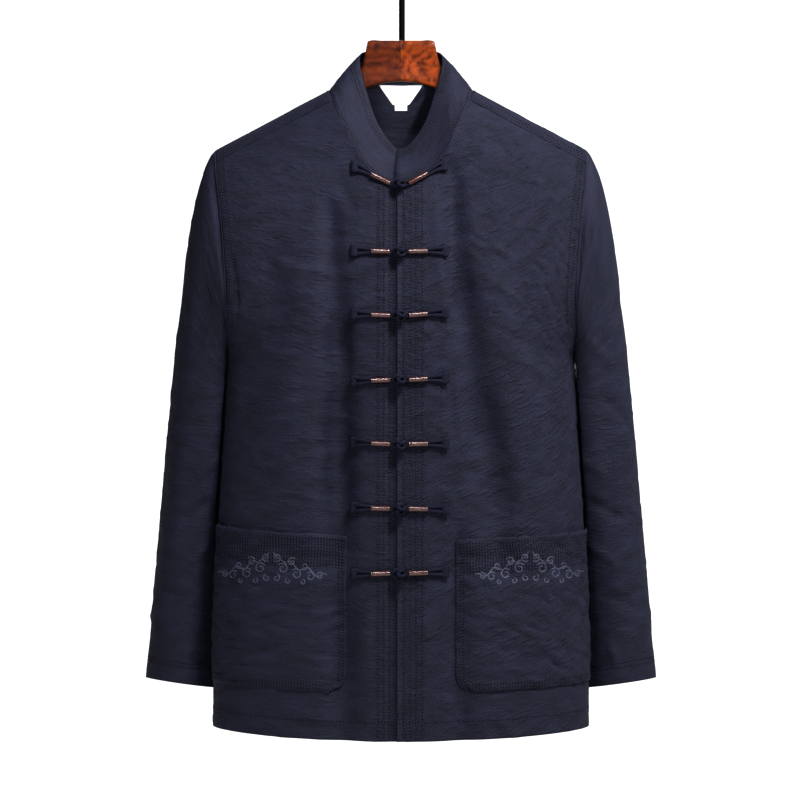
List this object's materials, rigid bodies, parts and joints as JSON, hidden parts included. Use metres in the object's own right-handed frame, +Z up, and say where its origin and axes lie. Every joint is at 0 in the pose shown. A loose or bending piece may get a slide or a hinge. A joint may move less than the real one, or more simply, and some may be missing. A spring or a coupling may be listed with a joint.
{
  "type": "kung fu jacket on a wooden hanger",
  "caption": "Kung fu jacket with a stand collar, knotted front fastenings, two patch pockets and long sleeves, hung on a wooden hanger with a wire hook.",
  "frame": {"origin": "where a rail touches the inside top of the hanger's hook", "axes": "+Z up, the jacket's front faces -Y, +X to the viewer's right, which is the wearer's left"},
  "size_m": [0.583, 0.207, 0.8843],
  "materials": {
    "cloth": "crinkled plain weave, dark navy, slight sheen",
    "cord": "rolled cloth cord, dark navy",
    "copper_thread": "wound satin thread, copper brown",
    "label": "bare woven tape, cream",
    "wood_light": "varnished, orange brown",
    "wood_dark": "varnished, red brown",
    "wire": "black wire"
  },
  "bodies": {
    "root": {"front_left": "cloth", "front_right": "cloth", "back": "cloth", "sleeve_left": "cloth", "sleeve_right": "cloth", "collar": "cloth", "pocket_left": "cloth", "pocket_right": "cloth", "label": "label", "hanger_left": "wood_light", "hanger_right": "wood_dark", "hook": "wire", "knot_1": "cord", "strap_left_1": "cord", "tube_left_1": "copper_thread", "strap_right_1": "cord", "tube_right_1": "copper_thread", "knot_2": "cord", "strap_left_2": "cord", "tube_left_2": "copper_thread", "strap_right_2": "cord", "tube_right_2": "copper_thread", "knot_3": "cord", "strap_left_3": "cord", "tube_left_3": "copper_thread", "strap_right_3": "cord", "tube_right_3": "copper_thread", "knot_4": "cord", "strap_left_4": "cord", "tube_left_4": "copper_thread", "strap_right_4": "cord", "tube_right_4": "copper_thread", "knot_5": "cord", "strap_left_5": "cord", "tube_left_5": "copper_thread", "strap_right_5": "cord", "tube_right_5": "copper_thread", "knot_6": "cord", "strap_left_6": "cord", "tube_left_6": "copper_thread", "strap_right_6": "cord", "tube_right_6": "copper_thread", "knot_7": "cord", "strap_left_7": "cord", "tube_left_7": "copper_thread", "strap_right_7": "cord", "tube_right_7": "copper_thread"}
  },
  "joints": []
}
